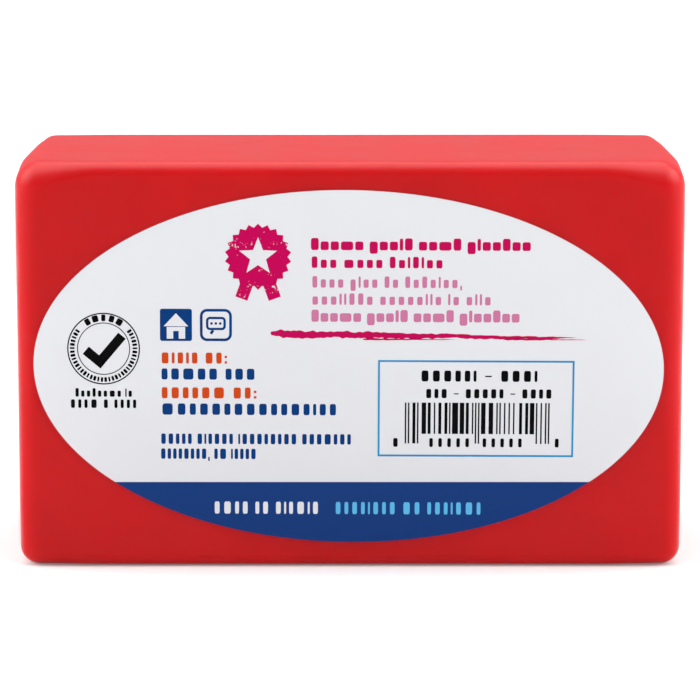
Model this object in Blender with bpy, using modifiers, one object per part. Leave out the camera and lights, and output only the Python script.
"""A bar of oil-based modelling clay in a clear film overwrap, with an oval label on each large face.

The bar stands on one of its long narrow sides. X runs along its length, Y through its thickness and
Z up. The rear label faces -Y and the front label faces +Y. The origin is on the ground under the
middle of the bar.
"""

from math import cos, pi, radians, sin

import bmesh
import bpy

# Driving dimensions, in metres.
LENGTH = 0.105  # over the folded ends of the film
THICKNESS = 0.045  # over the film
HEIGHT = 0.0645  # over the film
EDGE_RADIUS = 0.0026  # of the film where it turns over an edge of the clay
EDGE_SEGMENTS = 5
FILM = 0.00015  # thickness of one layer of film
END_LAYERS = 3  # at each end a tuck, then the front flap, then the rear flap
FLAP_DEPTH = 0.0244  # from the edge of an end's flat part to the tip of a flap
FOLD_EDGE = 0.0001  # how far the flaps' sealed edges stand in over the tucks
CLEARANCE = 0.0003  # between two pieces
PINHOLE_RADIUS = 0.0005  # where the folds meet at each corner of an end
LABEL_LENGTH = 0.0988
LABEL_HEIGHT = 0.056
LABEL_THICKNESS = 0.00015
LABEL_POINTS = 96  # round the oval
LABEL_TILT = radians(0.8)  # the labels are laid on slightly out of level

# Worked out from them.
END_FILM = END_LAYERS * FILM
MIDDLE = HEIGHT / 2
END_HALF_WIDTH = THICKNESS / 2 - EDGE_RADIUS  # of the flat part of an end
END_HALF_HEIGHT = HEIGHT / 2 - EDGE_RADIUS
CLAY_SIZE = (
    LENGTH - 2 * (END_FILM + CLEARANCE),
    THICKNESS - 2 * (FILM + CLEARANCE),
    HEIGHT - 2 * (FILM + CLEARANCE),
)
CLAY_EDGE_RADIUS = EDGE_RADIUS - FILM - CLEARANCE


def clear_scene():
    for obj in list(bpy.data.objects):
        bpy.data.objects.remove(obj)


def new_collection(name):
    collection = bpy.data.collections.new(name)
    bpy.context.scene.collection.children.link(collection)
    return collection


def new_material(name, color, roughness, alpha=1.0):
    material = bpy.data.materials.new(name)
    material.use_nodes = True
    shader = material.node_tree.nodes["Principled BSDF"]
    shader.inputs["Base Color"].default_value = (*color, 1)
    shader.inputs["Roughness"].default_value = roughness
    shader.inputs["Metallic"].default_value = 0
    shader.inputs["Alpha"].default_value = alpha
    return material


def move_to(obj, collection):
    for home in list(obj.users_collection):
        home.objects.unlink(obj)
    collection.objects.link(obj)


def rounded_box(name, size, radius, collection):
    """A box about the bar's middle with every edge rounded."""
    bpy.ops.mesh.primitive_cube_add(size=1, location=(0, 0, MIDDLE))
    obj = bpy.context.object
    obj.name = name
    obj.scale = size
    bpy.ops.object.transform_apply(location=False, rotation=False, scale=True)
    move_to(obj, collection)
    bevel = obj.modifiers.new("round edges", "BEVEL")
    bevel.width = radius
    bevel.segments = EDGE_SEGMENTS
    bevel.limit_method = "NONE"
    return obj


def plate(name, outline, thickness, location, rotation, collection):
    """A flat plate with a straight-sided outline, centred on its own plane."""
    curve = bpy.data.curves.new(name, "CURVE")
    curve.dimensions = "2D"
    curve.fill_mode = "BOTH"
    curve.extrude = thickness / 2
    spline = curve.splines.new("POLY")
    spline.points.add(len(outline) - 1)
    spline.use_cyclic_u = True
    for point, (x, y) in zip(spline.points, outline):
        point.co = (x, y, 0, 1)
    obj = bpy.data.objects.new(name, curve)
    obj.location = location
    obj.rotation_euler = rotation
    collection.objects.link(obj)
    return obj


def as_mesh(curve_object, collection):
    """The same shape as a closed mesh, which a Boolean can use."""
    bpy.context.view_layer.update()
    evaluated = curve_object.evaluated_get(bpy.context.evaluated_depsgraph_get())
    mesh = bpy.data.meshes.new_from_object(evaluated)
    welded = bmesh.new()
    welded.from_mesh(mesh)
    bmesh.ops.remove_doubles(welded, verts=welded.verts, dist=0.000001)
    welded.to_mesh(mesh)
    welded.free()
    name = curve_object.name
    matrix = curve_object.matrix_world.copy()
    bpy.data.objects.remove(curve_object)
    obj = bpy.data.objects.new(name, mesh)
    obj.matrix_world = matrix
    collection.objects.link(obj)
    return obj


def cut(obj, cutter):
    cutter.hide_render = True
    cutter.display_type = "WIRE"
    boolean = obj.modifiers.new("cut " + cutter.name, "BOOLEAN")
    boolean.operation = "DIFFERENCE"
    boolean.object = cutter


def make_clay_bar(parts, clay):
    bar = rounded_box("clay_bar", CLAY_SIZE, CLAY_EDGE_RADIUS, parts)
    bar.data.materials.append(clay)


def past_rear_flap_outline():
    """All of an end but the rear flap. The folds run out past the corners, to clear the rounded edges."""
    side = END_HALF_WIDTH + EDGE_RADIUS
    edge = END_HALF_HEIGHT + EDGE_RADIUS
    tip = FLAP_DEPTH - END_HALF_WIDTH
    half_tip = END_HALF_HEIGHT - FLAP_DEPTH
    return [(-side, edge), (side, edge), (side, -edge), (-side, -edge), (tip, -half_tip), (tip, half_tip)]


def tuck_outline(way):
    """Where a tuck shows between the two flaps, at the top (way 1) or the bottom (way -1)."""
    side = END_HALF_WIDTH + EDGE_RADIUS - FOLD_EDGE
    edge = END_HALF_HEIGHT + EDGE_RADIUS
    return [(-side, way * edge), (side, way * edge), (0, way * (edge - side))]


def step_down(wrap, name, outline, side, layers, cutters):
    """Lowers part of an end to the layer of film that shows there."""
    depth = layers * FILM
    cutter = plate(name, outline, 2 * depth, (side * LENGTH / 2, 0, MIDDLE), (pi / 2, 0, pi / 2), cutters)
    cut(wrap, as_mesh(cutter, cutters))


def open_pinholes(wrap, end, side, cutters):
    """The wrap isn't sealed at the corners of an end, where its folds meet."""
    for upper in (-1, 1):
        for front in (-1, 1):
            place = (
                side * LENGTH / 2,
                front * (END_HALF_WIDTH - 2 * PINHOLE_RADIUS),
                MIDDLE + upper * (END_HALF_HEIGHT - 2 * PINHOLE_RADIUS),
            )
            bpy.ops.mesh.primitive_cylinder_add(
                vertices=12, radius=PINHOLE_RADIUS, depth=4 * END_FILM, location=place, rotation=(0, pi / 2, 0)
            )
            hole = bpy.context.object
            hole.name = f"{end}_pinhole"
            move_to(hole, cutters)
            cut(wrap, hole)


def make_film_wrap(parts, cutters, film):
    """One sheet of film: a sleeve round the long faces, folded shut at both ends."""
    wrap = rounded_box("film_wrap", (LENGTH, THICKNESS, HEIGHT), EDGE_RADIUS, parts)
    inside = (LENGTH - 2 * END_FILM, THICKNESS - 2 * FILM, HEIGHT - 2 * FILM)
    cut(wrap, rounded_box("wrap_inside", inside, EDGE_RADIUS - FILM, cutters))
    for end, side in (("left", -1), ("right", 1)):
        step_down(wrap, f"{end}_front_flap", past_rear_flap_outline(), side, 1, cutters)
        step_down(wrap, f"{end}_top_tuck", tuck_outline(1), side, 2, cutters)
        step_down(wrap, f"{end}_bottom_tuck", tuck_outline(-1), side, 2, cutters)
        open_pinholes(wrap, end, side, cutters)
    wrap.data.materials.append(film)


def oval_outline():
    turns = [2 * pi * i / LABEL_POINTS for i in range(LABEL_POINTS)]
    return [(LABEL_LENGTH / 2 * cos(turn), LABEL_HEIGHT / 2 * sin(turn)) for turn in turns]


def make_labels(parts, paper):
    """An oval label on each large face, tilted clockwise as someone facing it sees it."""
    out = THICKNESS / 2 + CLEARANCE + LABEL_THICKNESS / 2
    for name, way, turn in (("rear_label", -1, 0), ("front_label", 1, pi)):
        place = (0, way * out, MIDDLE)
        label = plate(name, oval_outline(), LABEL_THICKNESS, place, (pi / 2, LABEL_TILT, turn), parts)
        label.data.materials.append(paper)


def main():
    clear_scene()
    parts = new_collection("modelling clay bar")
    cutters = new_collection("cutters")
    clay = new_material("red clay", (0.62, 0.01, 0.014), 0.5)
    film = new_material("clear film", (1, 0.96, 0.96), 0.3, alpha=0.15)
    paper = new_material("white label", (0.82, 0.83, 0.85), 0.45)
    make_clay_bar(parts, clay)
    make_film_wrap(parts, cutters, film)
    make_labels(parts, paper)


main()
